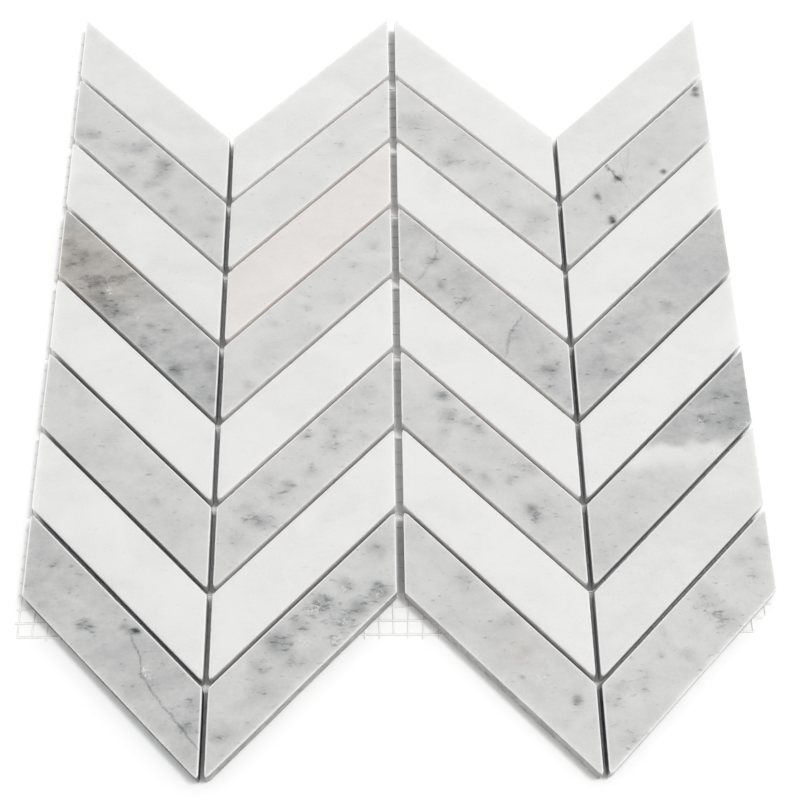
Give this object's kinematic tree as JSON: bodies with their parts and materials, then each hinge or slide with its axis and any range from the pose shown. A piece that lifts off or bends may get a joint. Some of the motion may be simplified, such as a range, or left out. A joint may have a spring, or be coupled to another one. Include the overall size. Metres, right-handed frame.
{
  "type": "chevron mosaic tile sheet",
  "caption": "Flat sheet of sawn marble chips in chevron rows, white and grey by turns, glued face up on a glass-fibre net for bedding in wall adhesive.",
  "frame": {"origin": "under the middle of the sheet, level with the underside of the net", "axes": "+X across the columns, +Y along the columns towards the far edge, +Z out of the polished face"},
  "size_m": [0.302, 0.3602, 0.0085],
  "materials": {
    "white_marble": "honed satin",
    "grey_marble": "honed satin",
    "glass_fibre": "matt coated yarn"
  },
  "bodies": {
    "root": {"white_tile_row1_col1": "white_marble", "white_tile_row1_col2": "white_marble", "white_tile_row1_col3": "white_marble", "white_tile_row1_col4": "white_marble", "grey_tile_row2_col1": "grey_marble", "grey_tile_row2_col2": "grey_marble", "grey_tile_row2_col3": "grey_marble", "grey_tile_row2_col4": "grey_marble", "white_tile_row3_col1": "white_marble", "white_tile_row3_col2": "white_marble", "white_tile_row3_col3": "white_marble", "white_tile_row3_col4": "white_marble", "grey_tile_row4_col1": "grey_marble", "grey_tile_row4_col2": "grey_marble", "grey_tile_row4_col3": "grey_marble", "grey_tile_row4_col4": "grey_marble", "white_tile_row5_col1": "white_marble", "white_tile_row5_col2": "white_marble", "white_tile_row5_col3": "white_marble", "white_tile_row5_col4": "white_marble", "grey_tile_row6_col1": "grey_marble", "grey_tile_row6_col2": "grey_marble", "grey_tile_row6_col3": "grey_marble", "grey_tile_row6_col4": "grey_marble", "white_tile_row7_col1": "white_marble", "white_tile_row7_col2": "white_marble", "white_tile_row7_col3": "white_marble", "white_tile_row7_col4": "white_marble", "grey_tile_row8_col1": "grey_marble", "grey_tile_row8_col2": "grey_marble", "grey_tile_row8_col3": "grey_marble", "grey_tile_row8_col4": "grey_marble", "mesh_lengthwise_yarns": "glass_fibre", "mesh_crosswise_yarns": "glass_fibre"}
  },
  "joints": []
}
